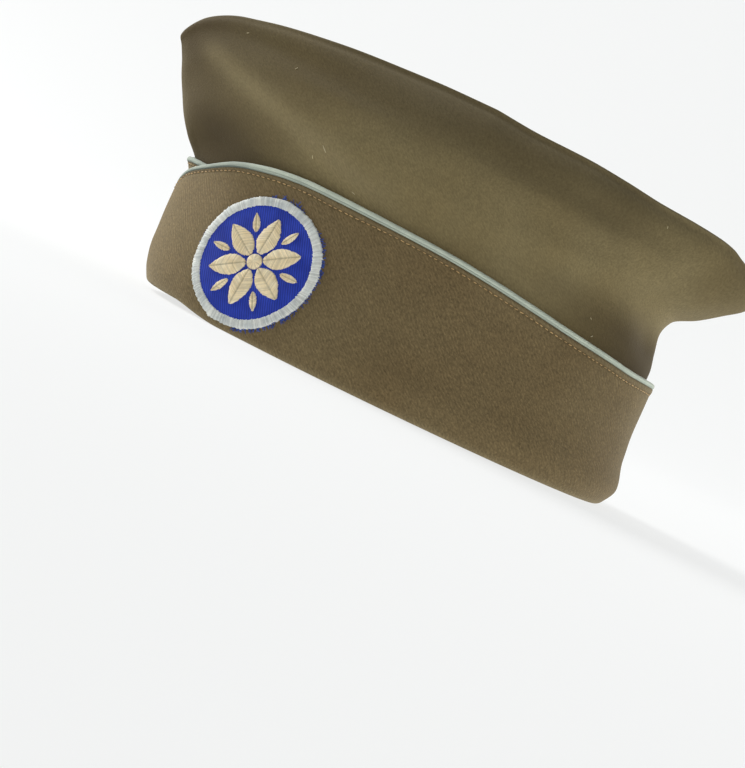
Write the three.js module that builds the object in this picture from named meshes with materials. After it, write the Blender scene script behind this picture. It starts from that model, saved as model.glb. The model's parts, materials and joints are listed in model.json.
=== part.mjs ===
// A soldier's garrison cap of wool twill: a hollow crown of two side panels and a folded top
// piece, a turned-up curtain of two overlapping halves with piped edges, and a round
// embroidered patch on the wearer's left. Millimetres, +Z up, front towards -X, left towards -Y.
import * as THREE from "three";

// Driving sizes of the crown.
const crownLength = 273.5; // front corner to the tip of the tail
const crownHeight = 131; // floor to the highest point of the ridge seams
const crownWidth = 154; // across the side panels at the rim, where they are widest
const ridgeSpread = 74; // between the two ridge seams at mid-length
const valleyDepth = 15; // how far the top piece folds in between the ridges
const crownWall = 2; // cloth of the side panels
const topWall = 1.8; // cloth of the top piece
const seamGap = 0.3; // between two panels sewn edge to edge

// Driving sizes of the curtain and its piping.
const curtainHeight = 69; // floor to the middle of the piping, at its highest
const curtainWall = 2.1;
const lipWall = 1.8; // the hem turned in under the crown's lower edge
const hemRound = 1.5; // rounding of the folded lower edge
const hemLift = 2.5; // how far the lower edge rises at the front
const hemLiftReach = 24; // and how high above the floor that is felt
const rimClearance = 0.4; // between curtain and crown at the rim
const sideClearance = 2.3; // between curtain and crown at the piping, on the sides
const frontClearance = 2; // the same at the front
const pipingDiameter = 3;
const pipingGap = 0.57;

// Driving sizes of the patch.
const patchDiameter = 58;
const patchBorderWidth = 4.6;
const patchBorderHeight = 1.5;
const patchGroundWall = 0.8;
const petalWall = 0.7;
const petalWidth = 9.4;
const petalInner = 3.6; // where a petal starts, from the patch's centre
const petalOuter = 20.4; // where it ends
const petalCount = 6;
const bossRadius = 3;
const patchSeat = 0.4; // under the patch, and between its layers
const patchHem = 1.8; // the patch's lowest edge above the floor, were it upright
const patchTurn = 0.2985; // place round the cap, as a share of the half turn

// Places of the front overlap, as shares of the half turn from front seam to back seam.
const crossTurn = 0.142; // where the two edges cross, on the wearer's left
const overTurn = 0.312; // how far the left half runs past the crossing
const underTurn = 0.06; // how far the right half runs on beneath it
const easeTurn = 0.13; // where the left half settles back against the crown
const shortTurn = 0.022; // how far the piping stops short of a half's front end

// Numbers of faces.
const panelSteps = 36;
const topSteps = 5;
const curtainSteps = 40;
const curtainRows = 7;
const pipingSides = 8;
const pipingSteps = 44;

// The crown's outline. A row is one level of the side panels: level is its height at mid-length,
// as a share of crownHeight, and the seams' heights are shares of it too. frontX and backX are
// shares of crownLength from the middle, width a share of crownWidth, and ridge how far the row
// follows ridgeSpread instead. frontPoint and backPoint run from 0, round in plan, to 1, a wedge.
const levels = [
  { level: 0, frontX: -0.3592, frontZ: 0, backX: 0.4031, backZ: 0, width: 1, ridge: 0, frontPoint: 0.12, backPoint: 0 },
  { level: 0.0687, frontX: -0.372, frontZ: 0.0687, backX: 0.4188, backZ: 0.0687, width: 1, ridge: 0, frontPoint: 0.14, backPoint: 0 },
  { level: 0.168, frontX: -0.3786, frontZ: 0.16, backX: 0.4079, backZ: 0.164, width: 0.965, ridge: 0, frontPoint: 0.24, backPoint: 0.02 },
  { level: 0.294, frontX: -0.379, frontZ: 0.275, backX: 0.3995, backZ: 0.282, width: 0.91, ridge: 0, frontPoint: 0.34, backPoint: 0.06 },
  { level: 0.416, frontX: -0.3785, frontZ: 0.37, backX: 0.3962, backZ: 0.389, width: 0.86, ridge: 0, frontPoint: 0.48, backPoint: 0.12 },
  { level: 0.508, frontX: -0.3925, frontZ: 0.439, backX: 0.3954, backZ: 0.458, width: 0.835, ridge: 0, frontPoint: 0.54, backPoint: 0.2 },
  { level: 0.584, frontX: -0.4221, frontZ: 0.504, backX: 0.3896, backZ: 0.523, width: 0.83, ridge: 0, frontPoint: 0.56, backPoint: 0.26 },
  { level: 0.66, frontX: -0.4441, frontZ: 0.569, backX: 0.383, backZ: 0.588, width: 0.825, ridge: 0, frontPoint: 0.56, backPoint: 0.3 },
  { level: 0.737, frontX: -0.4609, frontZ: 0.63, backX: 0.3918, backZ: 0.64, width: 0.8, ridge: 0, frontPoint: 0.55, backPoint: 0.32 },
  { level: 0.813, frontX: -0.4748, frontZ: 0.687, backX: 0.4287, backZ: 0.6855, width: 0.755, ridge: 0, frontPoint: 0.52, backPoint: 0.33 },
  { level: 0.875, frontX: -0.4842, frontZ: 0.729, backX: 0.4612, backZ: 0.733, width: 0.72, ridge: 0.1, frontPoint: 0.48, backPoint: 0.34 },
  { level: 0.9275, frontX: -0.4925, frontZ: 0.763, backX: 0.49, backZ: 0.782, width: 0.68, ridge: 0.3, frontPoint: 0.45, backPoint: 0.36 },
  { level: 0.97, frontX: -0.5, frontZ: 0.788, backX: 0.5, backZ: 0.828, width: 0.62, ridge: 0.62, frontPoint: 0.43, backPoint: 0.36 },
  { level: 1, frontX: -0.4966, frontZ: 0.8015, backX: 0.4978, backZ: 0.8695, width: 0.4, ridge: 1, frontPoint: 0.42, backPoint: 0.36 },
];

// How the seams' heights carry on from each end towards mid-length, by quarter turn.
const endFall = [
  { quarter: 0.0, front: 1.0, back: 1.0 },
  { quarter: 0.1, front: 0.82, back: 0.88 },
  { quarter: 0.2, front: 0.605, back: 0.77 },
  { quarter: 0.29, front: 0.45, back: 0.605 },
  { quarter: 0.35, front: 0.37, back: 0.45 },
  { quarter: 0.41, front: 0.315, back: 0.375 },
  { quarter: 0.5, front: 0.227, back: 0.32 },
  { quarter: 0.6, front: 0.15, back: 0.28 },
  { quarter: 0.7, front: 0.085, back: 0.18 },
  { quarter: 0.8, front: 0.045, back: 0.105 },
  { quarter: 0.9, front: 0.01, back: 0.09 },
  { quarter: 1.0, front: 0.0, back: 0.0 },
];

// The top piece's fall from a ridge seam to the middle crease, as a share of valleyDepth.
const valley = [
  { inwards: 0.0, drop: 0.0 },
  { inwards: 0.09, drop: 0.07 },
  { inwards: 0.22, drop: 0.36 },
  { inwards: 0.38, drop: 0.67 },
  { inwards: 0.6, drop: 0.87 },
  { inwards: 0.85, drop: 0.96 },
  { inwards: 1.0, drop: 1.0 },
];

// The middle of the piping on each half, as a share of curtainHeight. turn is the place from
// front seam to back seam, below 0 past the front seam, where one half runs on over the other.
const edge = [
  { turn: -0.17, left: 0.115, right: 0.8 },
  { turn: -0.142, left: 0.215, right: 0.828 },
  { turn: -0.1, left: 0.365, right: 0.834 },
  { turn: -0.05, left: 0.525, right: 0.836 },
  { turn: 0.0, left: 0.65, right: 0.834 },
  { turn: 0.06, left: 0.75, right: 0.85 },
  { turn: 0.142, left: 0.836, right: 0.9 },
  { turn: 0.245, left: 0.951, right: 0.954 },
  { turn: 0.31, left: 0.993, right: 0.993 },
  { turn: 0.342, left: 1.0, right: 1.0 },
  { turn: 0.37, left: 0.998, right: 0.998 },
  { turn: 0.477, left: 0.981, right: 0.981 },
  { turn: 0.528, left: 0.968, right: 0.968 },
  { turn: 0.583, left: 0.943, right: 0.943 },
  { turn: 0.64, left: 0.911, right: 0.911 },
  { turn: 0.704, left: 0.875, right: 0.875 },
  { turn: 0.787, left: 0.84, right: 0.84 },
  { turn: 0.851, left: 0.818, right: 0.818 },
  { turn: 1.0, left: 0.806, right: 0.806 },
];

// Soft folds of the side panels. turn and level give the middle, longTurn and longLevel the
// reach, slope how far the fold climbs with the turn, and swell its height as a share of
// crownWidth, below 0 for a hollow. side is -1 for the wearer's left, 1 for the right, 0 for both.
const folds = [
  { side: 0, turn: 0.13, level: 0.56, longTurn: 0.1, longLevel: 0.05, slope: 0, swell: -0.016 },
  { side: 0, turn: 0.22, level: 0.8, longTurn: 0.13, longLevel: 0.06, slope: -0.6, swell: 0.012 },
  { side: 0, turn: 0.3, level: 0.9, longTurn: 0.12, longLevel: 0.045, slope: -0.35, swell: -0.012 },
  { side: 0, turn: 0.74, level: 0.74, longTurn: 0.13, longLevel: 0.06, slope: 0.5, swell: 0.012 },
  { side: 0, turn: 0.7, level: 0.9, longTurn: 0.14, longLevel: 0.045, slope: 0.1, swell: -0.01 },
  { side: 0, turn: 0.9, level: 0.6, longTurn: 0.06, longLevel: 0.07, slope: 0, swell: -0.014 },
];

/** Smooth reading of a table of rows between its entries, with no overshoot. */
function read(rows, key, column, at) {
  const last = rows.length - 1;
  if (at <= rows[0][key]) return rows[0][column];
  if (at >= rows[last][key]) return rows[last][column];
  const i = rows.findIndex((row, n) => at < rows[n + 1][key]);
  const rise = (n) => (rows[n + 1][column] - rows[n][column]) / (rows[n + 1][key] - rows[n][key]);
  const slopeAt = (n) => {
    if (n === 0) return rise(0);
    if (n === last) return rise(last - 1);
    const before = rise(n - 1);
    const after = rise(n);
    return before * after <= 0 ? 0 : (2 * before * after) / (before + after);
  };
  const span = rows[i + 1][key] - rows[i][key];
  const t = (at - rows[i][key]) / span;
  const ease = t * t * (3 - 2 * t);
  const start = t * (1 - t) * (1 - t) * span * slopeAt(i);
  const end = t * t * (t - 1) * span * slopeAt(i + 1);
  return rows[i][column] * (1 - ease) + rows[i + 1][column] * ease + start + end;
}

const mix = (a, b, share) => a + (b - a) * share;

function smooth(from, to, at) {
  const t = Math.min(1, Math.max(0, (at - from) / (to - from)));
  return t * t * (3 - 2 * t);
}

const bell = (distance, reach) => Math.exp(-((distance / reach) ** 2));

/** A point of the crown's outer face. turn is 0 at the front seam, 1 at the back seam and below
 * 0 past the front, on the other side. side is -1 for the wearer's left and 1 for the right. */
function crownPoint(side, turn, level) {
  const angle = turn * Math.PI;
  const share = (1 - Math.cos(angle)) / 2;
  const row = (column) => read(levels, "level", column, level);
  const x = crownLength * mix(row("frontX"), row("backX"), share);
  const halfWidth = mix((row("width") * crownWidth) / 2, ridgeSpread / 2, row("ridge"));
  const point = mix(row("frontPoint"), row("backPoint"), smooth(0.15, 0.85, Math.abs(turn)));
  const s = Math.sin(angle);
  const y = side * halfWidth * s * (1 - point + point * Math.abs(s));
  const fall = (column, quarter) => read(endFall, "quarter", column, Math.min(1, Math.abs(quarter)));
  const front = fall("front", turn * 2);
  const back = fall("back", (1 - turn) * 2);
  const share3 = level + (row("frontZ") - level) * front + (row("backZ") - level) * back;
  return new THREE.Vector3(x, y, crownHeight * share3);
}

/** The outward direction of the crown's face, level with the floor at the lowest rows. */
function crownNormal(side, turn, level) {
  const step = 0.004;
  const along = crownPoint(side, turn + step, level).sub(crownPoint(side, turn - step, level));
  const low = Math.max(0, level - step);
  const high = Math.min(1, level + step);
  const up = crownPoint(side, turn, high).sub(crownPoint(side, turn, low));
  const normal = along.cross(up).multiplyScalar(-side).normalize();
  if (turn === 0 || turn === 1) normal.setY(0).normalize();
  return normal;
}

/** The height of all folds at one place of the side panels. */
function foldSwell(side, turn, level) {
  let sum = 0;
  for (const fold of folds) {
    if (fold.side !== 0 && fold.side !== side) continue;
    const aside = turn - fold.turn;
    const above = level - fold.level - fold.slope * aside;
    sum += fold.swell * crownWidth * bell(aside, fold.longTurn) * bell(above, fold.longLevel);
  }
  return sum * smooth(0, 0.06, turn) * smooth(0, 0.06, 1 - turn) * smooth(0, 0.03, 1 - level);
}

/** A point at a distance outside the crown's face, folds included above the curtain. */
function offCrown(side, turn, level, distance, withFolds = false) {
  const swell = withFolds ? foldSwell(side, turn, level) : 0;
  const point = crownPoint(side, turn, level);
  return point.addScaledVector(crownNormal(side, turn, level), distance + swell);
}

/** The lower edge rises a little towards the front seam. */
function raised(point, turn) {
  const rise = hemLift * (1 - smooth(0.17, 0.27, Math.abs(turn)));
  return point.setZ(point.z + rise * Math.max(0, 1 - point.z / hemLiftReach) ** 2);
}

/** A closed solid through rings that all have the same number of points. */
function solidThroughRings(rings, capPairs) {
  const size = rings[0].length;
  const positions = rings.flat().flatMap((p) => [p.x, p.y, p.z]);
  const faces = [];
  for (let r = 0; r + 1 < rings.length; r++) {
    for (let i = 0; i < size; i++) {
      const a = r * size + i;
      const b = r * size + ((i + 1) % size);
      faces.push(a, b, b + size, a, b + size, a + size);
    }
  }
  const cap = (ring, turned) => {
    const at = ring * size;
    for (const [a, b, c] of capPairs(size)) faces.push(at + a, at + (turned ? b : c), at + (turned ? c : b));
  };
  cap(0, false);
  cap(rings.length - 1, true);
  const geometry = new THREE.BufferGeometry();
  geometry.setAttribute("position", new THREE.Float32BufferAttribute(positions, 3));
  geometry.setIndex(faces);
  if (enclosedVolume(geometry) < 0) turnInsideOut(geometry);
  geometry.computeVertexNormals();
  return geometry;
}

/** Caps a ring made of an outer path and the same number of inner points coming back. */
function stripCap(size) {
  const faces = [];
  for (let i = 0; i + 1 < size / 2; i++) {
    const far = size - 1 - i;
    faces.push([i, i + 1, far], [i + 1, far - 1, far]);
  }
  return faces;
}

/** Caps a convex ring with a fan. */
function fanCap(size) {
  return Array.from({ length: size - 2 }, (_, i) => [0, i + 1, i + 2]);
}

function enclosedVolume(geometry) {
  const p = geometry.getAttribute("position");
  const index = geometry.getIndex();
  const [a, b, c] = [new THREE.Vector3(), new THREE.Vector3(), new THREE.Vector3()];
  let sum = 0;
  for (let i = 0; i < index.count; i += 3) {
    a.fromBufferAttribute(p, index.getX(i));
    b.fromBufferAttribute(p, index.getX(i + 1));
    c.fromBufferAttribute(p, index.getX(i + 2));
    sum += a.dot(b.cross(c)) / 6;
  }
  return sum;
}

function turnInsideOut(geometry) {
  const faces = Array.from(geometry.getIndex().array);
  for (let i = 0; i < faces.length; i += 3) [faces[i + 1], faces[i + 2]] = [faces[i + 2], faces[i + 1]];
  geometry.setIndex(faces);
}

const steps = (from, to, count) => Array.from({ length: count + 1 }, (_, i) => mix(from, to, i / count));

/** One side panel of the crown, from the rim up to its ridge seam. */
function sidePanel(side) {
  const rimLevel = (lipWall + seamGap) / crownHeight;
  const rows = [rimLevel, 0.12, 0.28, 0.42, 0.5, 0.58, 0.66, 0.72, 0.78, 0.86, 0.93, 0.975, 1];
  const down = new THREE.Vector3(0, 0, -1);
  const clear = new THREE.Vector3(0, (side * seamGap) / 2, 0);
  const rings = steps(0, 1, panelSteps).map((turn) => {
    const outer = rows.map((level) => offCrown(side, turn, level, 0, true).add(clear));
    const inner = rows.map((level, i) => {
      if (level === 1) return outer[i].clone().addScaledVector(down, crownWall);
      return offCrown(side, turn, level, -crownWall, true).add(clear);
    });
    inner[0].z = outer[0].z;
    const last = rows.length - 1;
    inner[last - 1].lerpVectors(inner[last - 2], inner[last], 0.5);
    return [...outer, ...inner.reverse()].map((p) => raised(p, turn));
  });
  return solidThroughRings(rings, stripCap);
}

/** The top piece, folded in between the two ridge seams. */
function topPiece() {
  const rings = steps(0, 1, panelSteps).slice(1, -1).map((turn) => {
    const ridge = crownPoint(1, turn, 1);
    const halfWidth = ridge.y - seamGap / 2;
    const depth = valleyDepth * Math.sin(turn * Math.PI) ** 1.4;
    const shares = steps(-1, 1, topSteps * 2);
    const upper = shares.map((share) => {
      const inwards = 1 - Math.abs(share);
      const z = ridge.z - depth * read(valley, "inwards", "drop", inwards);
      return new THREE.Vector3(ridge.x, halfWidth * share, z);
    });
    const lower = upper.map((p) => new THREE.Vector3(p.x, p.y, p.z - topWall * 1.15));
    return [...upper, ...lower.reverse()];
  });
  return solidThroughRings(rings, stripCap);
}

/** The height of the middle of the piping. */
const pipingHeight = (side, turn) => curtainHeight * read(edge, "turn", side < 0 ? "left" : "right", turn);

/** The level of the crown's face that lies at a height above the floor. */
function levelAt(side, turn, height) {
  let low = 0;
  let high = 0.7;
  for (let i = 0; i < 24; i++) {
    const level = (low + high) / 2;
    if (crownPoint(side, turn, level).z < height) low = level;
    else high = level;
  }
  return (low + high) / 2;
}

/** A point at a height above the floor and a level distance outside the crown. */
function besideCrown(side, turn, height, distance) {
  const level = levelAt(side, turn, height);
  const normal = crownNormal(side, turn, level).setZ(0).normalize();
  return crownPoint(side, turn, level).addScaledVector(normal, distance).setZ(height);
}

/** The space between curtain and crown. */
function clearanceAt(turn, height) {
  const top = mix(frontClearance, sideClearance, smooth(0.1, 0.4, Math.abs(turn)));
  return mix(rimClearance, top, smooth(0, curtainHeight, height));
}

/** How far the left half stands out over the right half's end. */
function lapLift(side, turn) {
  if (side > 0) return 0;
  const lapEnd = crossTurn + underTurn;
  return (pipingDiameter + pipingGap) * (1 - smooth(lapEnd, lapEnd + easeTurn, turn));
}

/** One ring of the curtain: hem lip, folded edge, outer face, top edge and inner face. */
function curtainRing(side, turn, top) {
  const at = (height, distance) => besideCrown(side, turn, height, distance);
  const inner = (height) => clearanceAt(turn, height) + lapLift(side, turn);
  const outer = (height) => inner(height) + curtainWall;
  const lipped = side > 0 || turn > crossTurn + underTurn + 0.035;
  const lipEnd = lipped ? -crownWall : inner(0) - hemRound / 15;
  const fold = outer(0) - hemRound;
  const outside = [at(0, lipEnd), at(0, fold), at(hemRound * 0.3, fold + hemRound * 0.7), at(hemRound, outer(0))];
  const inside = [at(lipWall, lipEnd), at(lipWall, inner(0) - hemRound / 30)];
  inside.push(at((lipWall * 7) / 6, inner(0)), at(lipWall * 1.5, inner(lipWall)));
  for (const share of steps(0, 1, curtainRows).slice(1)) {
    outside.push(at(mix(hemRound, top, share), outer(mix(hemRound, top, share))));
    const height = mix(lipWall * 1.5, top, share);
    inside.push(at(height, inner(height)));
  }
  return [...outside, ...inside.reverse()];
}

/** The middle line of the piping at one place. */
function pipingCentre(side, turn) {
  const height = pipingHeight(side, turn);
  const distance = clearanceAt(turn, height) + lapLift(side, turn) + curtainWall / 2;
  return besideCrown(side, turn, height, distance);
}

/** The height of the curtain's cut edge, which lies under the piping at right angles to it. */
function cutHeight(side, turn) {
  const step = 0.003;
  const way = pipingCentre(side, turn + step).sub(pipingCentre(side, turn - step));
  const steepness = way.length() / Math.hypot(way.x, way.y);
  return pipingCentre(side, turn).z - (pipingDiameter / 2 + pipingGap) * steepness;
}

/** Where each half starts, at its front end. */
const startOf = (side) => (side < 0 ? crossTurn - overTurn : -crossTurn - underTurn);

/** Half the gap at the back seam, with its sign. */
const backClear = (side, turn) => (side * seamGap * smooth(0.8, 1, turn)) / 2;

/** One half of the curtain, from its front end to the back seam. */
function curtainHalf(side) {
  const rings = steps(startOf(side), 1, curtainSteps).map((turn) => {
    const ring = curtainRing(side, turn, cutHeight(side, turn));
    return ring.map((p) => raised(p.setY(p.y + backClear(side, turn)), turn));
  });
  return solidThroughRings(rings, stripCap);
}

/** The round piping that stands on one half's edge. */
function piping(side) {
  const centres = steps(startOf(side) + shortTurn, 1, pipingSteps).map((turn) => {
    const centre = pipingCentre(side, turn);
    return raised(centre.setY(centre.y + backClear(side, turn)), turn);
  });
  const rings = centres.map((centre, i) => {
    const from = centres[Math.max(0, i - 1)];
    const to = centres[Math.min(centres.length - 1, i + 1)];
    const way = to.clone().sub(from);
    if (i === centres.length - 1) way.set(0, -side, 0);
    way.normalize();
    const out = new THREE.Vector3(centre.x, centre.y, 0).normalize();
    const up = new THREE.Vector3().crossVectors(way, out).normalize();
    const aside = new THREE.Vector3().crossVectors(up, way).normalize();
    return steps(0, 2 * Math.PI, pipingSides).slice(0, -1).map((angle) =>
      centre.clone()
        .addScaledVector(up, (pipingDiameter / 2) * Math.cos(angle))
        .addScaledVector(aside, (pipingDiameter / 2) * Math.sin(angle)),
    );
  });
  return solidThroughRings(rings, fanCap);
}

/** A point at a distance outside the left half of the curtain. */
function outsideLeft(turn, height, distance) {
  const reach = clearanceAt(turn, height) + lapLift(-1, turn) + curtainWall + distance;
  return raised(besideCrown(-1, turn, height, reach), turn);
}

/** The same, by its distances from the patch's centre. The patch lies flat on the leaning cloth,
 * with its upright middle line square to the rim. */
function onPatch(aside, up, distance) {
  const step = 0.002;
  const middle = patchHem + patchDiameter / 2;
  const centre = outsideLeft(patchTurn, middle, 0);
  const across = outsideLeft(patchTurn + step, middle, 0).sub(outsideLeft(patchTurn - step, middle, 0));
  across.normalize();
  const lean = crownNormal(-1, patchTurn, levelAt(-1, patchTurn, middle));
  const height = middle + up * Math.hypot(lean.x, lean.y);
  const face = (turn) => outsideLeft(turn, height, distance);
  const speed = (turn) => face(turn + step).distanceTo(face(turn - step)) / (2 * step);
  let turn = patchTurn;
  for (let i = 0; i < 2; i++) turn -= face(turn).sub(centre).dot(across) / speed(turn);
  const parts = 8;
  for (let i = 0; i < parts; i++) turn += aside / parts / speed(turn);
  return face(turn);
}

/** A flat shape wrapped on the curtain. rows is a list of paths across it, in patch distances. */
function wrapped(rows, low, high) {
  const rings = rows.map((path) => {
    const upper = path.map(([aside, up]) => onPatch(aside, up, high));
    const lower = path.map(([aside, up]) => onPatch(aside, up, low));
    return [...upper, ...lower.reverse()];
  });
  return solidThroughRings(rings, stripCap);
}

/** The blue twill ground, as strips across the disc. */
function patchGround() {
  const radius = patchDiameter / 2 - patchBorderWidth - patchSeat;
  const rows = steps(-1, 1, 12).map((share) => {
    const angle = (share * Math.PI) / 2 * 0.93;
    const up = radius * Math.sin(angle);
    const halfWidth = radius * Math.cos(angle);
    return steps(-halfWidth, halfWidth, 8).map((aside) => [aside, up]);
  });
  return wrapped(rows, patchSeat, patchSeat + patchGroundWall);
}

/** The raised border, a closed ring with a rounded top. */
function patchBorder() {
  const outer = patchDiameter / 2;
  const middle = outer - patchBorderWidth / 2;
  const section = [
    { across: 0.5, rise: 0 },
    { across: 0.5, rise: 0.45 },
    { across: 0.26, rise: 0.94 },
    { across: -0.26, rise: 0.94 },
    { across: -0.5, rise: 0.45 },
    { across: -0.5, rise: 0 },
  ];
  const around = 32;
  const positions = [];
  const faces = [];
  for (let i = 0; i < around; i++) {
    const angle = (i / around) * 2 * Math.PI;
    for (const { across, rise } of section) {
      const r = middle + across * patchBorderWidth;
      const p = onPatch(r * Math.cos(angle), r * Math.sin(angle), patchSeat + rise * patchBorderHeight);
      positions.push(p.x, p.y, p.z);
    }
  }
  const size = section.length;
  for (let i = 0; i < around; i++) {
    for (let j = 0; j < size; j++) {
      const a = i * size + j;
      const b = i * size + ((j + 1) % size);
      const c = ((i + 1) % around) * size + ((j + 1) % size);
      const d = ((i + 1) % around) * size + j;
      faces.push(a, b, c, a, c, d);
    }
  }
  const geometry = new THREE.BufferGeometry();
  geometry.setAttribute("position", new THREE.Float32BufferAttribute(positions, 3));
  geometry.setIndex(faces);
  if (enclosedVolume(geometry) < 0) turnInsideOut(geometry);
  geometry.computeVertexNormals();
  return geometry;
}

/** One raised petal of the rosette, pointed at both ends. */
function petal(number) {
  const angle = ((number + 0.5) / petalCount) * 2 * Math.PI;
  const rows = steps(0.05, 0.95, 8).map((share) => {
    const r = mix(petalInner, petalOuter, share);
    const half = (petalWidth / 2) * Math.sin(share * Math.PI) ** 0.8;
    return steps(-half, half, 2).map((across) => [
      r * Math.cos(angle) - across * Math.sin(angle),
      r * Math.sin(angle) + across * Math.cos(angle),
    ]);
  });
  const seat = patchSeat + patchGroundWall + patchSeat;
  return wrapped(rows, seat, seat + petalWall);
}

/** The small round boss in the middle of the rosette. */
function patchBoss() {
  const seat = patchSeat + patchGroundWall + patchSeat;
  const rows = steps(-0.85, 0.85, 6).map((share) => {
    const angle = (share * Math.PI) / 2;
    const up = bossRadius * Math.sin(angle);
    const half = bossRadius * Math.cos(angle);
    return steps(-half, half, 3).map((aside) => [aside, up]);
  });
  return wrapped(rows, seat, seat + petalWall);
}

const twill = { color: 0x6b5f43, roughness: 0.95, metalness: 0 };
const pale = { color: 0xa4b0a6, roughness: 0.8, metalness: 0 };
const blue = { color: 0x1f3a9e, roughness: 0.85, metalness: 0 };
const cream = { color: 0xe6d8b4, roughness: 0.8, metalness: 0 };
const grey = { color: 0xb9bdb6, roughness: 0.85, metalness: 0 };

const cap = new THREE.Group();

function add(name, geometry, finish) {
  const mesh = new THREE.Mesh(geometry, new THREE.MeshStandardMaterial(finish));
  mesh.name = name;
  cap.add(mesh);
}

add("crown_side_left", sidePanel(-1), twill);
add("crown_side_right", sidePanel(1), twill);
add("crown_top", topPiece(), twill);
add("curtain_left", curtainHalf(-1), twill);
add("curtain_right", curtainHalf(1), twill);
add("piping_left", piping(-1), pale);
add("piping_right", piping(1), pale);
add("patch_ground", patchGround(), blue);
add("patch_border", patchBorder(), grey);
for (let i = 0; i < petalCount; i++) add(`patch_petal_${i + 1}`, petal(i), cream);
add("patch_boss", patchBoss(), cream);

// The origin is on the floor, under the middle of the whole cap.
const box = new THREE.Box3().setFromObject(cap);
const middle = box.getCenter(new THREE.Vector3());
cap.position.set(-middle.x, -middle.y, -box.min.z);

export default cap;
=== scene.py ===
"""A garrison cap of wool twill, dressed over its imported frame. Lengths in the tables are the
drawing's millimetres; a piece's points are turned into metres in the frame's own place."""
import json
import math

import bpy
import numpy as np
from mathutils import Matrix, Vector

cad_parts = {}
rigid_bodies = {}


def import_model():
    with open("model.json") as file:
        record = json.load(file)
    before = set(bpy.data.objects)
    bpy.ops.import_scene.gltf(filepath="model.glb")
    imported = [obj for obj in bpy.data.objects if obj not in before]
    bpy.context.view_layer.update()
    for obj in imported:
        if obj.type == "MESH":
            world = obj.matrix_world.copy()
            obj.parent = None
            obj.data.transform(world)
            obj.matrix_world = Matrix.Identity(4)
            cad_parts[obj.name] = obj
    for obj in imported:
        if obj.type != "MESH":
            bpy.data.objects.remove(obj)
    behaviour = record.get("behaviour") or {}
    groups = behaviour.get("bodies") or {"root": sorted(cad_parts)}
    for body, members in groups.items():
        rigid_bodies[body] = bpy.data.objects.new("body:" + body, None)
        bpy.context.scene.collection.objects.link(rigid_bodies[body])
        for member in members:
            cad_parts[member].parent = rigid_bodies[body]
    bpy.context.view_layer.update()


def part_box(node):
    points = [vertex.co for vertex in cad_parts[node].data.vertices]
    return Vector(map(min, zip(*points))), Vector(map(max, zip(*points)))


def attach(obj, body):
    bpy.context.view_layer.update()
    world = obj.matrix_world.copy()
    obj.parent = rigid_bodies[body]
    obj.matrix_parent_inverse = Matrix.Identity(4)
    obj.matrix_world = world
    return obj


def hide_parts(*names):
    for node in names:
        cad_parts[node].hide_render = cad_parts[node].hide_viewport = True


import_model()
rng = np.random.default_rng(41)

# How far the cap was tilted in the photograph; the camera is rolled by it.
CAMERA_ROLL = math.radians(25.75)

# Numbers of rings along the turn.
CROWN_STEPS, TOP_STEPS, CURTAIN_STEPS, PIPING_STEPS = 330, 300, 400, 620

# The drawing's sizes, as in the CAD source, but for a rounder hem.
crown_length, crown_height, crown_width = 273.5, 131.0, 154.0
ridge_spread, valley_depth = 74.0, 15.0
crown_wall, top_wall = 2.0, 1.8
curtain_height, curtain_wall, lip_wall = 69.0, 2.1, 1.8
hem_round, hem_lift, hem_lift_reach = 1.9, 2.5, 24.0
rim_clearance, side_clearance, front_clearance = 0.4, 2.3, 2.0
piping_diameter, piping_gap = 3.0, 0.57
patch_diameter, patch_hem, patch_turn = 58.0, 1.8, 0.2985
petal_width, petal_inner, petal_outer, petal_count, boss_radius = 9.4, 3.6, 20.4, 6, 3.0
cross_turn, over_turn, under_turn, ease_turn, short_turn = 0.142, 0.312, 0.06, 0.13, 0.022

lo_l, hi_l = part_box("crown_side_left")
hi_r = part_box("crown_side_right")[1]
UNIT = hi_l.z / crown_height
OFFSET = np.array([(hi_l.x + lo_l.x) / 2, (lo_l.y + hi_r.y) / 2, 0.0])

# level, frontX, frontZ, backX, backZ, width, ridge, frontPoint, backPoint
LEVELS = np.array([
    (0, -0.3592, 0, 0.4031, 0, 1, 0, 0.12, 0),
    (0.0687, -0.372, 0.0687, 0.4188, 0.0687, 1, 0, 0.14, 0),
    (0.168, -0.3786, 0.16, 0.4079, 0.164, 0.965, 0, 0.24, 0.02),
    (0.294, -0.379, 0.275, 0.3995, 0.282, 0.91, 0, 0.34, 0.06),
    (0.416, -0.3785, 0.37, 0.3962, 0.389, 0.86, 0, 0.48, 0.12),
    (0.508, -0.3925, 0.439, 0.3954, 0.458, 0.835, 0, 0.54, 0.2),
    (0.584, -0.4221, 0.504, 0.3896, 0.523, 0.83, 0, 0.56, 0.26),
    (0.66, -0.4441, 0.569, 0.383, 0.588, 0.825, 0, 0.56, 0.3),
    (0.737, -0.4609, 0.63, 0.3918, 0.64, 0.8, 0, 0.55, 0.32),
    (0.813, -0.4748, 0.687, 0.4287, 0.6855, 0.755, 0, 0.52, 0.33),
    (0.875, -0.4842, 0.729, 0.4612, 0.733, 0.72, 0.1, 0.48, 0.34),
    (0.9275, -0.4925, 0.763, 0.49, 0.782, 0.68, 0.3, 0.45, 0.36),
    (0.97, -0.5, 0.788, 0.5, 0.828, 0.62, 0.62, 0.43, 0.36),
    (1, -0.4966, 0.8015, 0.4978, 0.8695, 0.4, 1, 0.42, 0.36),
])
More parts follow.
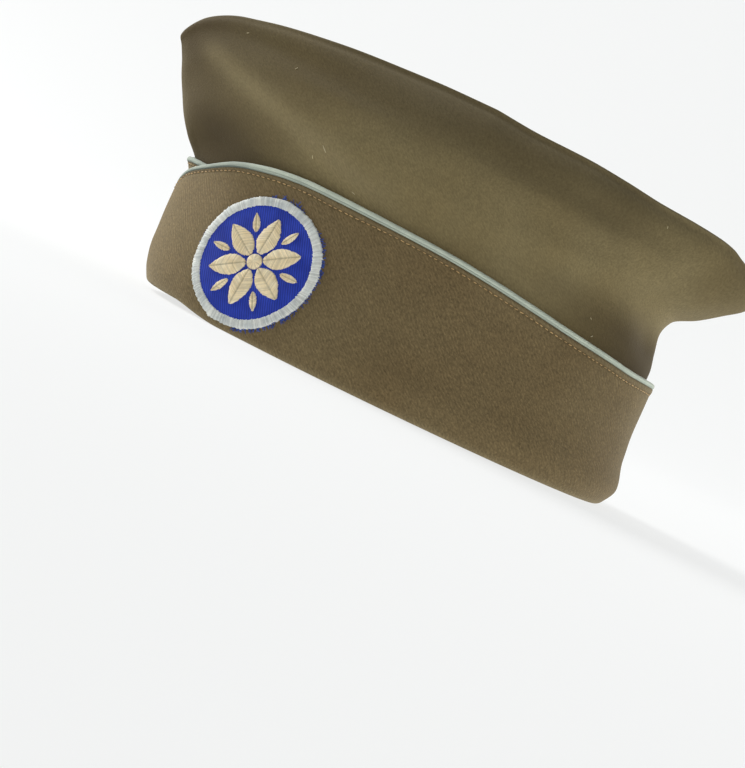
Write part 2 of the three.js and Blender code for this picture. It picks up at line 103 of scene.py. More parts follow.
# quarter, front, back: how much of a seam's own height holds, a quarter turn either way from it
END_FALL = np.array([
    (0.0, 1.0, 1.0), (0.1, 0.82, 0.88), (0.2, 0.605, 0.77), (0.29, 0.45, 0.605),
    (0.35, 0.37, 0.45), (0.41, 0.315, 0.375), (0.5, 0.227, 0.32), (0.6, 0.15, 0.28),
    (0.7, 0.085, 0.18), (0.8, 0.045, 0.105), (0.9, 0.01, 0.09), (1.0, 0.0, 0.0),
])
# inwards, drop: the top piece's section, from a ridge to the middle
VALLEY = np.array([
    (0.0, 0.0), (0.09, 0.07), (0.22, 0.36), (0.38, 0.67), (0.6, 0.87), (0.85, 0.96), (1.0, 1.0),
])
# turn, left, right: the piping's height, as a share of curtain_height
EDGE = np.array([
    (-0.17, 0.115, 0.8), (-0.142, 0.215, 0.828), (-0.1, 0.365, 0.834), (-0.05, 0.525, 0.836),
    (0.0, 0.65, 0.834), (0.06, 0.75, 0.85), (0.142, 0.836, 0.9), (0.245, 0.951, 0.954),
    (0.31, 0.993, 0.993), (0.342, 1.0, 1.0), (0.37, 0.998, 0.998), (0.477, 0.981, 0.981),
    (0.528, 0.968, 0.968), (0.583, 0.943, 0.943), (0.64, 0.911, 0.911), (0.704, 0.875, 0.875),
    (0.787, 0.84, 0.84), (0.851, 0.818, 0.818), (1.0, 0.806, 0.806),
])
# turn, level, longTurn, longLevel, slope, swell in mm: the soft folds of the crown's sides
FOLDS = [
    (0.13, 0.56, 0.1, 0.05, 0, -2.46),
    (0.22, 0.8, 0.13, 0.06, -0.6, 1.85),
    (0.3, 0.9, 0.12, 0.045, -0.35, -1.85),
    (0.74, 0.74, 0.13, 0.06, 0.5, 1.85),
    (0.7, 0.9, 0.14, 0.045, 0.1, -1.54),
    (0.9, 0.6, 0.06, 0.07, 0, -2.16),
]


def read(rows, column, at):
    """Smooth reading of a table between its entries, with no overshoot."""
    xs, ys = rows[:, 0], rows[:, column]
    at = np.clip(np.asarray(at, float), xs[0], xs[-1])
    rise = np.diff(ys) / np.diff(xs)
    a, b = rise[:-1], rise[1:]
    inner = np.where(a * b <= 0, 0.0, 2 * a * b / np.where(a + b == 0, 1, a + b))
    slope = np.concatenate([rise[:1], inner, rise[-1:]])
    i = np.clip(np.searchsorted(xs, at, side="right") - 1, 0, len(xs) - 2)
    span = xs[i + 1] - xs[i]
    t = (at - xs[i]) / span
    ease = t * t * (3 - 2 * t)
    bend = t * (1 - t) ** 2 * span * slope[i] + t * t * (t - 1) * span * slope[i + 1]
    return ys[i] * (1 - ease) + ys[i + 1] * ease + bend


def mix(a, b, share):
    return a + (b - a) * share


def smooth(start, end, at):
    t = np.clip((at - start) / (end - start), 0, 1)
    return t * t * (3 - 2 * t)


def bell(distance, reach):
    return np.exp(-((distance / reach) ** 2))


def unit(v):
    return v / np.maximum(np.linalg.norm(v, axis=-1, keepdims=True), 1e-12)


def stack(*parts):
    return np.stack(np.broadcast_arrays(*parts), axis=-1)


def round_turn(count):
    return np.linspace(0, 2 * math.pi, count, endpoint=False)


def crown_point(side, turn, level):
    """A point of the crown's outer face, in mm."""
    turn, level = np.broadcast_arrays(np.asarray(turn, float), np.asarray(level, float))
    angle = turn * math.pi
    share = (1 - np.cos(angle)) / 2
    x = crown_length * mix(read(LEVELS, 1, level), read(LEVELS, 3, level), share)
    half = mix(read(LEVELS, 5, level) * crown_width / 2, ridge_spread / 2, read(LEVELS, 6, level))
    point = mix(read(LEVELS, 7, level), read(LEVELS, 8, level), smooth(0.15, 0.85, np.abs(turn)))
    s = np.sin(angle)
    y = side * half * s * (1 - point + point * np.abs(s))
    front = read(END_FALL, 1, np.minimum(1, np.abs(turn * 2)))
    back = read(END_FALL, 2, np.minimum(1, np.abs((1 - turn) * 2)))
    rise = level + (read(LEVELS, 2, level) - level) * front + (read(LEVELS, 4, level) - level) * back
    return stack(x, y, crown_height * rise)


def crown_normal(side, turn, level):
    turn, level = np.broadcast_arrays(np.asarray(turn, float), np.asarray(level, float))
    step = 0.004
    along = crown_point(side, turn + step, level) - crown_point(side, turn - step, level)
    up = crown_point(side, turn, np.minimum(1, level + step))
    up = up - crown_point(side, turn, np.maximum(0, level - step))
    normal = unit(np.cross(along, up) * -side)
    flat = (turn == 0) | (turn == 1)
    normal[..., 1] = np.where(flat, 0, normal[..., 1])
    return unit(normal)


def fold_swell(turn, level):
    total = np.zeros(np.broadcast(turn, level).shape)
    for at, height, long_turn, long_level, slope, swell in FOLDS:
        aside = turn - at
        above = level - height - slope * aside
        total = total + swell * bell(aside, long_turn) * bell(above, long_level)
    return total * smooth(0, 0.06, turn) * smooth(0, 0.06, 1 - turn) * smooth(0, 0.03, 1 - level)


def waves(turn, level, seed):
    """Small soft unevenness of cloth, in mm, about 1 at its highest."""
    r = np.random.default_rng(seed)
    total = np.zeros(np.broadcast(turn, level).shape)
    for _ in range(14):
        a, b = r.uniform(5, 34), r.uniform(5, 26)
        lean, phase, size = r.uniform(-1, 1), r.uniform(0, 2 * math.pi), r.uniform(0.4, 1)
        total = total + size * np.sin(a * turn + lean * b * level + phase) * np.cos(b * level - phase)
    return total / 5


def raised(points, turn):
    """The lower edge rises a little towards the front seam."""
    rise = hem_lift * (1 - smooth(0.17, 0.27, np.abs(turn)))
    points = points.copy()
    points[..., 2] += rise * np.maximum(0, 1 - points[..., 2] / hem_lift_reach) ** 2
    return points


def level_at(side, turn, height):
    low = np.zeros(np.broadcast(turn, height).shape)
    high = low + 0.7
    for _ in range(22):
        level = (low + high) / 2
        under = crown_point(side, turn, level)[..., 2] < height
        low, high = np.where(under, level, low), np.where(under, high, level)
    return (low + high) / 2


def beside_crown(side, turn, height, distance):
    """A point at a height above the floor and a level distance outside the crown."""
    level = level_at(side, turn, height)
    normal = crown_normal(side, turn, level)
    normal[..., 2] = 0
    out = crown_point(side, turn, level) + unit(normal) * np.asarray(distance)[..., None]
    out[..., 2] = height
    return out


def clearance_at(turn, height):
    top = mix(front_clearance, side_clearance, smooth(0.1, 0.4, np.abs(turn)))
    return mix(rim_clearance, top, smooth(0, curtain_height, height))


def lap_lift(side, turn):
    if side > 0:
        return np.zeros(np.shape(turn))
    end = cross_turn + under_turn
    return (piping_diameter + piping_gap) * (1 - smooth(end, end + ease_turn, turn))


def back_distance(side, turn, height):
    """How far the curtain's back stands off the crown."""
    return clearance_at(turn, height) + lap_lift(side, turn)


def piping_height(side, turn):
    return curtain_height * read(EDGE, 1 if side < 0 else 2, turn)


def piping_centre(side, turn):
    height = piping_height(side, turn)
    return beside_crown(side, turn, height, back_distance(side, turn, height) + curtain_wall / 2)


def steepness(side, turn):
    way = piping_centre(side, turn + 0.003) - piping_centre(side, turn - 0.003)
    return np.linalg.norm(way, axis=-1) / np.hypot(way[..., 0], way[..., 1])


def piping_half(turn):
    """Half the height of the piping's section, wider at the side than at the ends."""
    return mix(1.25, 1.62, smooth(0.12, 0.3, turn)) * mix(1, 0.76, smooth(0.6, 0.95, turn))


def start_of(side):
    return cross_turn - over_turn if side < 0 else -cross_turn - under_turn


def back_clear(side, turn):
    return side * 0.1 * smooth(0.8, 1, turn) / 2


def roll(distance, radius):
    """How far a rounded shoulder has fallen at a distance from its seam."""
    t = np.clip(1 - distance / radius, 0, 1)
    return -radius * (1 - np.sqrt(1 - t * t))


def sided(name, side):
    return name + ("_left" if side < 0 else "_right")


def loft(name, rings, loop=False, **layers):
    """A mesh object through rings of points, each closed round, with point attributes."""
    count, size = rings.shape[:2]
    r = np.arange(count if loop else count - 1)[:, None]
    i = np.arange(size)[None, :]
    a, b = r * size + i, r * size + (i + 1) % size
    c, d = ((r + 1) % count) * size + (i + 1) % size, ((r + 1) % count) * size + i
    quads = np.stack([a, b, c, d], -1).reshape(-1, 4)
    p = rings.reshape(-1, 3)
    q = p - p.mean(0)
    volume = np.einsum("ij,ij->", q[quads[:, 0]], np.cross(q[quads[:, 1]], q[quads[:, 2]]))
    volume += np.einsum("ij,ij->", q[quads[:, 0]], np.cross(q[quads[:, 2]], q[quads[:, 3]]))
    faces = quads.tolist()
    if not loop:
        faces.append(list(range(size))[::-1])
        faces.append(list(range((count - 1) * size, count * size)))
    if volume < 0:
        faces = [f[::-1] for f in faces]
    return make(name, p, faces, **layers)


def add(name, data):
    thing = bpy.data.objects.new(name, data)
    bpy.context.scene.collection.objects.link(thing)
    return thing


def make(name, points, faces, **layers):
    """A smooth mesh object from points in mm, with point attributes."""
    mesh = bpy.data.meshes.new(name)
    mesh.from_pydata((points * UNIT + OFFSET).tolist(), [], faces)
    for key, values in layers.items():
        values = np.asarray(values, np.float32)
        if values.size == len(points) * 3:
            mesh.attributes.new(key, "FLOAT_VECTOR", "POINT").data.foreach_set("vector", values.ravel())
        else:
            mesh.attributes.new(key, "FLOAT", "POINT").data.foreach_set("value", values.ravel())
    mesh.polygons.foreach_set("use_smooth", np.ones(len(mesh.polygons), bool))
    mesh.update()
    return add(name, mesh)


def finish_piece(thing, material, slot, *nodes):
    thing.data.materials.append(material)
    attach(thing, "root")
    if nodes:
        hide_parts(*nodes)


# Materials.
def linear(*screen):
    """A screen colour, each part above 10 of 255, as the shader's linear one."""
    return tuple(((v / 255 + 0.055) / 1.055) ** 2.4 for v in screen) + (1.0,)


class Nodes:
    """Shorthand for one material's nodes."""

    def __init__(self, name):
        self.material = bpy.data.materials.new(name)
        self.material.use_nodes = True
        self.tree = self.material.node_tree
        self.shader = self.tree.nodes["Principled BSDF"]

    def node(self, kind, inputs=(), **settings):
        made = self.tree.nodes.new(kind)
        for key, value in settings.items():
            setattr(made, key, value)
        for key, value in dict(inputs).items():
            self.put(made.inputs[key], value)
        return made

    def put(self, socket, value):
        if isinstance(value, bpy.types.NodeSocket):
            self.tree.links.new(value, socket)
        else:
            socket.default_value = value

    def attribute(self, name, which="Vector"):
        return self.node("ShaderNodeAttribute", attribute_name=name).outputs[which]

    def objects(self):
        return self.node("ShaderNodeTexCoord").outputs["Object"]

    def noise(self, vector, scale, detail=2.0, rough=0.5):
        made = self.node("ShaderNodeTexNoise", {"Scale": scale, "Detail": detail, "Roughness": rough})
        self.put(made.inputs["Vector"], vector)
        return made.outputs["Fac"]

    def wave(self, vector, pitch, direction="X", distortion=0.0, detail=2.0, detail_scale=1.0):
        made = self.node("ShaderNodeTexWave", {"Scale": math.pi / 10 / pitch, "Distortion": distortion,
                                               "Detail": detail, "Detail Scale": detail_scale},
                         bands_direction=direction)
        self.put(made.inputs["Vector"], vector)
        return made.outputs["Fac"]

    def math(self, operation, a, b):
        made = self.node("ShaderNodeMath", operation=operation)
        self.put(made.inputs[0], a)
        self.put(made.inputs[1], b)
        return made.outputs[0]

    def scaled(self, vector, by):
        made = self.node("ShaderNodeVectorMath", operation="MULTIPLY")
        self.put(made.inputs[0], vector)
        made.inputs[1].default_value = by
        return made.outputs[0]

    def blend(self, share, a, b):
        """A mix of two colours; a Mix node keeps its colour sockets after the others."""
        made = self.node("ShaderNodeMix", data_type="RGBA", blend_type="MIX")
        self.put(made.inputs[0], share)
        self.put(made.inputs[6], a)
        self.put(made.inputs[7], b)
        return made.outputs[2]

    def around(self, value, reach):
        """1 plus or minus reach, from a value between 0 and 1."""
        return self.math("ADD", self.math("MULTIPLY", value, 2 * reach), 1 - reach)

    def spread(self, value, low, high):
        made = self.node("ShaderNodeMapRange", {"From Min": low, "From Max": high})
        self.put(made.inputs["Value"], value)
        return made.outputs["Result"]

    def shade(self, colour, factor):
        """A colour times a factor."""
        made = self.node("ShaderNodeVectorMath", operation="SCALE")
        self.put(made.inputs[0], colour)
        self.put(made.inputs["Scale"], factor)
        return made.outputs[0]

    def bump(self, height, distance, strength):
        made = self.node("ShaderNodeBump", {"Distance": distance, "Strength": strength})
        self.put(made.inputs["Height"], height)
        return made.outputs["Normal"]

    def finish(self, colour, normal, roughness, sheen=0.0, sheen_rough=0.5,
               tint=(1, 1, 1, 1), specular=0.3):
        s = self.shader.inputs
        self.put(s["Base Color"], colour)
        if normal is not None:
            self.put(s["Normal"], normal)
        self.put(s["Roughness"], roughness)
        s["Sheen Weight"].default_value = sheen
        s["Sheen Roughness"].default_value = sheen_rough
        s["Sheen Tint"].default_value = tint
        s["Specular IOR Level"].default_value = specular
        return self.material


def wool(name, base, warm, twill_colour, twill_bump, melange):
    """Wool twill: two shades in clouds, streaky yarn, diagonal ribs, wear, a painted highlight and
    painted shade.
    """
    n = Nodes(name)
    weave = n.attribute("weave")
    where = n.objects()
    twill = n.wave(weave, 1.42, "Z", distortion=3.0, detail=2.5, detail_scale=0.8)
    yarn = n.noise(n.scaled(weave, (1.0, 1.0, 1.6)), 0.85, 2.0, 0.6)
    twill = n.math("MULTIPLY", twill, n.spread(yarn, 0.25, 0.7))
    fleck = n.noise(weave, 3.4, 1.0)
    mottle = n.noise(where, 95.0, 3.0, 0.6)
    cloud = n.noise(where, 24.0, 2.0)
    colour = n.blend(n.spread(cloud, 0.3, 0.7), base, warm)
    faded = n.around(n.spread(mottle, 0.25, 0.75), 0.075)
    grain = n.math("MULTIPLY", faded, n.around(n.spread(yarn, 0.3, 0.7), melange))
    grain = n.math("MULTIPLY", grain, n.around(twill, twill_colour))
    colour = n.shade(colour, grain)
    # The pale tan is rubbed wear, and on the crown also a painted highlight along a fold.
    wear = n.math("MULTIPLY", n.attribute("wear", "Fac"), n.around(yarn, 0.3))
    worn = n.blend(wear, colour, linear(150, 138, 108))
    # Painted shade: a dark brown blended in at seams, grooves, hollows and the crown's top band.
    deep = n.blend(n.attribute("deep", "Fac"), worn, linear(54, 41, 19))
    height = n.math("ADD", n.math("MULTIPLY", twill, twill_bump), n.math("MULTIPLY", yarn, 0.55))
    height = n.math("ADD", height, n.math("MULTIPLY", fleck, 0.35))
    height = n.math("ADD", height, n.math("MULTIPLY", mottle, 0.4))
    rough = n.math("ADD", n.math("MULTIPLY", yarn, 0.1), 0.86)
    return n.finish(deep, n.bump(height, 0.00022, 0.9), rough, 0.18, 0.55, (0.9, 0.8, 0.58, 1), 0.16)


curtain_wool = wool("curtain_wool", linear(116, 101, 71), linear(107, 91, 62), 0.09, 0.7, 0.3)
crown_wool = wool("crown_wool", linear(126, 114, 81), linear(117, 104, 71), 0.014, 0.12, 0.18)


def piping_cloth():
    """Pale cord, soiled in places, with painted shade in its crease, underneath and at the front."""
    n = Nodes("piping_cloth")
    weave, where = n.attribute("weave"), n.objects()
    ribs = n.wave(weave, 0.75, "Z", distortion=1.2, detail=2.0)
    dirt = n.noise(where, 160.0, 3.0, 0.6)
    fine = n.noise(weave, 2.4, 2.0)
    colour = n.blend(n.spread(dirt, 0.3, 0.72), linear(197, 206, 188), linear(175, 185, 170))
    # Painted shade: the crease, underside and front turn grey-teal.
    colour = n.blend(n.attribute("band", "Fac"), colour, linear(95, 104, 96))
    grain = n.around(n.spread(fine, 0.25, 0.75), 0.07)
    colour = n.shade(colour, n.math("MULTIPLY", n.around(ribs, 0.05), grain))
    height = n.math("ADD", n.math("MULTIPLY", ribs, 0.6), n.math("MULTIPLY", fine, 0.5))
    return n.finish(colour, n.bump(height, 0.00012, 0.8), 0.72, 0.15, 0.4, (0.9, 0.95, 0.92, 1), 0.3)


def thread(name, light, dark, gleam):
    """Stitched thread: its strands have their own shade, some dirt, and painted shade in the grooves
    between them.
    """
    n = Nodes(name)
    strand, sunk = n.attribute("strand", "Fac"), n.attribute("sunk", "Fac")
    dirt = n.noise(n.objects(), 210.0, 3.0, 0.6)
    fuzz = n.noise(n.objects(), 1625.0, 2.0, 0.6)
    colour = n.blend(n.spread(dirt, 0.32, 0.7), light, dark)
    colour = n.shade(colour, n.math("MULTIPLY", n.around(strand, 0.16), n.around(fuzz, 0.12)))
    # Painted shade in the grooves between threads.
    colour = n.shade(colour, n.math("SUBTRACT", 1.0, n.math("MULTIPLY", sunk, 0.5)))
    return n.finish(colour, n.bump(fuzz, 0.00008, 0.8), 0.55, 0.2, 0.4, (1, 1, 0.95, 1), gleam)


def blue_twill():
    """The patch's ground, with upright ribs a millimetre apart."""
    n = Nodes("patch_blue_twill")
    weave = n.attribute("weave")
    ribs = n.wave(weave, 1.0, "X", distortion=0.6, detail=1.0)
    fine = n.noise(weave, 2.2, 2.0)
    cloud = n.noise(n.objects(), 120.0, 2.0)
    colour = n.blend(n.spread(cloud, 0.3, 0.7), linear(38, 62, 172), linear(28, 49, 148))
    colour = n.shade(colour, n.math("MULTIPLY", n.around(ribs, 0.28), n.around(fine, 0.15)))
    height = n.math("ADD", n.math("MULTIPLY", ribs, 0.8), n.math("MULTIPLY", fine, 0.4))
    return n.finish(colour, n.bump(height, 0.00016, 0.9), 0.75, 0.12, 0.4, (0.7, 0.8, 1, 1), 0.25)


piping_stuff = piping_cloth()
border_stuff = thread("border_thread", linear(232, 234, 226), linear(196, 203, 202), 0.3)
motif_stuff = thread("motif_thread", linear(248, 234, 198), linear(232, 211, 166), 0.35)
blue_stuff = blue_twill()
fray_stuff = thread("blue_fray", linear(62, 88, 168), linear(36, 54, 118), 0.2)
stitch_stuff = thread("tan_stitch", linear(196, 163, 110), linear(160, 130, 86), 0.3)
lint_stuff = thread("pale_lint", linear(205, 194, 160), linear(170, 158, 120), 0.2)


def walk(spots, along, line):
    """Points of a line at distances along it."""
    return np.stack([np.interp(spots, along, line[:, k]) for k in range(3)], -1)


def cumulative(points):
    step = np.linalg.norm(np.diff(points, axis=0), axis=-1)
    return np.concatenate([[0.0], np.cumsum(step)])


def twill_layer(along, up):
    """Weave coordinates in mm: along, up and across the diagonal ribs."""
    return stack(along, up, (along + up) / math.sqrt(2))


def on_face(rings, values):
    """Values on the first points of each ring, which are the outer face, and 0 on the others."""
    full = np.zeros(rings.shape[:2])
    full[:, : values.shape[1]] = values
    return full


SEAM_HALF = 0.06  # mm from the middle plane to a side panel's edge
# Turns next to a seam, where the cloth rounds over.
SEAM_STEPS = np.array([0.0008, 0.0018, 0.003, 0.0045, 0.0065, 0.009])


def clustered(start, end, count):
    """Turns from start to end, with finer ones next to both ends."""
    body = np.linspace(start, end, count)
    return np.unique(np.concatenate([body, start + SEAM_STEPS, end - SEAM_STEPS]))


def light_fold(turn, level):
    """Painted highlight: the pale fold that runs from the front top corner down and back."""
    reach = smooth(0.08, 0.16, turn) * (1 - smooth(0.38, 0.5, turn))
    return reach * bell(level - 0.833 + 0.89 * (turn - 0.153), 0.05)


def unfaded(turn, level):
    """Painted shade on the crown: hollows at both ends, two dents, low above the curtain and the band
    under the top; less on the pale fold.
    """
    front = 0.74 * (1 - smooth(0.1, 0.4, turn)) * smooth(0.3, 0.45, level)
    dent = 0.26 * bell(turn - 0.2, 0.1) * bell(level - 0.6, 0.07)
    dent = dent + 0.15 * bell(turn - 0.3, 0.05) * bell(level - 0.7, 0.08)
    dent = dent + 0.12 * (1 - smooth(0.5, 0.62, level))
    back = 0.92 * smooth(0.56, 0.9, turn) * (1 - smooth(0.55, 0.7, level))
    along = 0.45 - 0.25 * smooth(0.1, 0.19, turn) + 0.3 * smooth(0.24, 0.35, turn)
    along = along - 0.42 * smooth(0.38, 0.8, turn) + 0.22 * smooth(0.79, 0.86, turn)
    along = along + 0.22 * bell(turn - 0.665, 0.04)
    top = along * smooth(0.74, 0.9, level)
    deep = np.maximum(front + dent, back) + top * (1 - front)
    return np.clip(deep - 0.36 * light_fold(turn, level), 0, 0.92)


# The crown's side panels.
def side_panel(side):
    """One side of the crown: its rings run up the outer face, over the ridge and down inside."""
    turns = clustered(0, 1, CROWN_STEPS)[:, None]
    rim = (lip_wall + 0.15) / crown_height
    # The curtain covers what is below hidden; above upper the cloth rolls over into the seam.
    hidden, upper = 0.42, 0.985
    levels = [np.linspace(rim, hidden, 16)[:-1], np.linspace(hidden, upper, 84)]
    levels = np.concatenate(levels)[None, :]
    roll_radius = 1.15
    step = 0.01
    reach = crown_point(side, turns, 1.0) - crown_point(side, turns, 1 - step)
    reach = np.linalg.norm(reach, axis=-1) / step
    bends = np.radians([0, 18, 36, 54, 72, 90])[None, :]
    last = 1 - roll_radius * (1 - np.sin(bends)) / reach
    grid = np.concatenate([np.broadcast_to(levels, (len(turns), levels.shape[1])), last], axis=1)
    grid[:, : levels.shape[1]] = np.minimum(grid[:, : levels.shape[1]], last[:, :1] - 0.001)
    grid = np.sort(grid, axis=1)
    t = np.broadcast_to(turns, grid.shape)
    away = (1 - grid) * reach
    seam = np.minimum(np.abs(crown_point(side, t, grid)[..., 1]), 30.0)
    outward = fold_swell(t, grid) + 0.3 * waves(t, grid, 7 + side) * smooth(0.4, 0.5, grid)
    outward = outward * smooth(0, 12, away + 2) + roll(away, roll_radius) + roll(seam, 0.9)
    normal = crown_normal(side, t, grid)
    outer = crown_point(side, t, grid) + normal * outward[..., None]
    inner_levels = np.concatenate([np.linspace(upper, hidden, 30), np.linspace(hidden, rim, 10)[1:]])
    ti = np.broadcast_to(turns, (len(turns), len(inner_levels)))
    li = np.broadcast_to(inner_levels, ti.shape)
    depth = fold_swell(ti, li) - crown_wall
    inner = crown_point(side, ti, li) + crown_normal(side, ti, li) * depth[..., None]
    inner[:, -1, 2] = outer[:, 0, 2]
    rings = np.concatenate([outer, inner], axis=1)
    rings[..., 1] += side * SEAM_HALF
    rings = raised(rings, np.broadcast_to(turns, rings.shape[:2]))
    base = cumulative(crown_point(side, turns[:, 0], 0.7))[:, None]
    all_levels = np.concatenate([grid, li], axis=1)
    weave = twill_layer(base, all_levels * crown_height)
    edge_wear = 0.22 * bell(away, 1.6) + 0.14 * bell(seam, 1.2)
    # Rubbed wear at the ridge and seams, plus a painted highlight along the pale fold.
    wear = on_face(rings, edge_wear + 0.16 * light_fold(t, grid))
    # Painted shade: dark lines along the ridge seam and the end seams, and the crown's painted shade by
    # place.
    lines = 0.6 * np.maximum(bell(away, 0.35), bell(seam, 0.3))
    deep = on_face(rings, np.maximum(lines, unfaded(t, grid)))
    thing = loft(sided("crown_cloth", side), rings, weave=weave, wear=wear, deep=deep)
    finish_piece(thing, crown_wool, "wool_twill", sided("crown_side", side))


side_panel(-1)
side_panel(1)


# The top piece, folded in between the ridges.
def top_piece():
    """Rings across the top, from one ridge down into the valley and up to the other."""
    turns = np.linspace(0.012, 0.988, TOP_STEPS)[:, None]
    ridge = crown_point(1, turns, 1.0)
    half = ridge[..., 1] - 0.08
    depth = valley_depth * np.sin(turns * math.pi) ** 1.4
    body = np.linspace(-1, 1, 61)[None, :]
    share = np.sign(body) * np.abs(body) ** 0.85
    inwards = 1 - np.abs(share)
    z = ridge[..., 2] - depth * read(VALLEY, 1, inwards)
    away = inwards * half
    z = z + roll(away, 1.1) + 0.25 * waves(turns, share * 0.6 + 0.5, 23) * smooth(0, 8, away)
    z = z - 0.7 * bell(share * half, 0.9)
    upper = stack(ridge[..., 0] + 0 * share, half * share, z)
    lower_share = np.linspace(1, -1, 21)[None, :]
    lower_z = ridge[..., 2] - depth * read(VALLEY, 1, 1 - np.abs(lower_share)) - top_wall * 1.3
    lower = stack(ridge[..., 0] + 0 * lower_share, half * lower_share, lower_z)
    rings = np.concatenate([upper, lower], axis=1)
    along = cumulative(ridge[:, 0])[:, None]
    across = np.concatenate([half * share, half * lower_share], axis=1)
    # Painted shade along the ridge seams and the valley's middle crease.
    deep = on_face(rings, 0.7 * bell(away, 0.4) + 0.5 * bell(share * half, 0.8))
    wear = on_face(rings, 0.2 * bell(away - 1.0, 1.2))
    thing = loft("crown_top_cloth", rings, weave=twill_layer(along, across), wear=wear, deep=deep)
    finish_piece(thing, crown_wool, "wool_twill", "crown_top")


top_piece()


# The curtain.
STITCH_PITCH, STITCH_LENGTH, STITCH_RADIUS = 2.6, 1.7, 0.23
# turn, mm from the piping's lower edge down to the topstitching
STITCH = np.array([
    (0, 0.9), (0.15, 1.0), (0.31, 2.05), (0.38, 2.6), (0.47, 1.9), (0.58, 2.3), (0.72, 2.6), (1, 2.9),
])


def cloth_rise(side, turn, height, top, slant):
    """What stands proud of the curtain's plain face: soft waves, the seam's welt, the stitch row."""
    below = (top - height) / slant
    soft = 0.35 * waves(turn * 1.3 + 2, height / 90, 31 + side) * smooth(0, 10, height)
    drop = read(STITCH, 1, turn)
    welt = 0.32 * (1 - smooth(drop - 0.5, drop + 0.9, below)) * smooth(-0.4, 0.9, below)
    groove = -0.3 * bell(below - drop, 0.55)
    return soft * smooth(0, 12, below + 2) + welt + groove


def curtain_top(side, turn):
    slant = steepness(side, turn)
    return piping_height(side, turn) - piping_half(turn) * 0.8 * slant, slant


def curtain_half(side):
    """One half of the curtain: its rings run out under the rim, up its face and down its back."""
    turns = clustered(start_of(side), 1, CURTAIN_STEPS)[:, None]
    top, slant = curtain_top(side, turns)

    def inner_at(h):
        return back_distance(side, turns, h)

    lipped = smooth(0.0, 0.02, turns - (cross_turn + under_turn + 0.025)) if side < 0 else 1.0
    lip_end = mix(inner_at(0.0) - 0.1, -crown_wall, lipped)
    heights, distances = [], []

    def put(height, distance):
        h, d, _ = np.broadcast_arrays(height, distance, turns)
        heights.append(h)
        distances.append(d)

    fold = inner_at(0.0) + curtain_wall - hem_round
    put(0.0, lip_end)
    for share in (0.35, 0.7):
        put(0.0, mix(lip_end, fold, share))
    for angle in np.radians(np.linspace(0, 90, 8)):
        h = hem_round * (1 - math.cos(angle))
        put(h, fold + hem_round * math.sin(angle))
    count = 56
    share = (np.arange(1, count + 1) / count)[None, ::-1] ** 1.5
    share = np.concatenate([share[:, 1:], np.zeros((1, 1))], axis=1)
    h = top - (top - hem_round) * share
    rise = cloth_rise(side, turns, h, top, slant) * smooth(0, 3, h - hem_round)
    put(h, inner_at(h) + curtain_wall + rise)
    last_outer = sum(x.shape[1] for x in heights)
    put(top + 0.12, inner_at(top) + curtain_wall - 0.35)
    put(top + 0.15, inner_at(top) + curtain_wall / 2)
    put(top, inner_at(top) + 0.1)
    back = np.linspace(0.02, 1, 18)[None, :]
    h = mix(top, lip_wall * 1.5, back)
    put(h, inner_at(h))
    put(lip_wall * 7 / 6, inner_at(0.0))
    put(lip_wall, inner_at(0.0) - 0.05)
    for share in (0.4, 0.75, 1.0):
        put(lip_wall, mix(inner_at(0.0) - 0.05, lip_end, share))
    height = np.concatenate(heights, axis=1)
    distance = np.concatenate(distances, axis=1)
    t = np.broadcast_to(turns, height.shape)
    seam = np.minimum((1 - t) * 220.0, 30.0)
    front = np.minimum((t - start_of(side)) * 260.0, 30.0)
    # The first three points of a ring lie under the rim.
    outside = np.zeros(height.shape)
    outside[:, 3:last_outer] = 1
    distance = distance + outside * (roll(seam, 0.8) + roll(front, 0.7))
    rings = beside_crown(side, t, height, distance)
    rings[..., 1] += back_clear(side, t)
    rings = raised(rings, t)
    # The weave is measured along a line half-way up.
    half_way, off = np.full(len(turns), 35.0), np.full(len(turns), 5.0)
    base = cumulative(beside_crown(side, turns[:, 0], half_way, off))[:, None]
    weave = twill_layer(base, height)
    below = (top - height) / slant
    wear = 0.2 * bell(height - 0.7, 1.6) + 0.12 * bell(below - 1.2, 1.3)
    wear = outside * (wear + 0.12 * bell(seam, 1.2))
    # Painted shade: a dark line in the stitch row's groove, at the back seam and right under the
    # piping.
    deep = 0.55 * bell(below - read(STITCH, 1, turns), 0.5) + 0.7 * bell(seam, 0.3)
    deep = outside * np.clip(deep + 0.5 * bell(below, 0.5), 0, 1)
    thing = loft(sided("curtain_cloth", side), rings, weave=weave, wear=wear, deep=deep)
    finish_piece(thing, curtain_wool, "wool_twill", sided("curtain", side))


curtain_half(-1)
curtain_half(1)


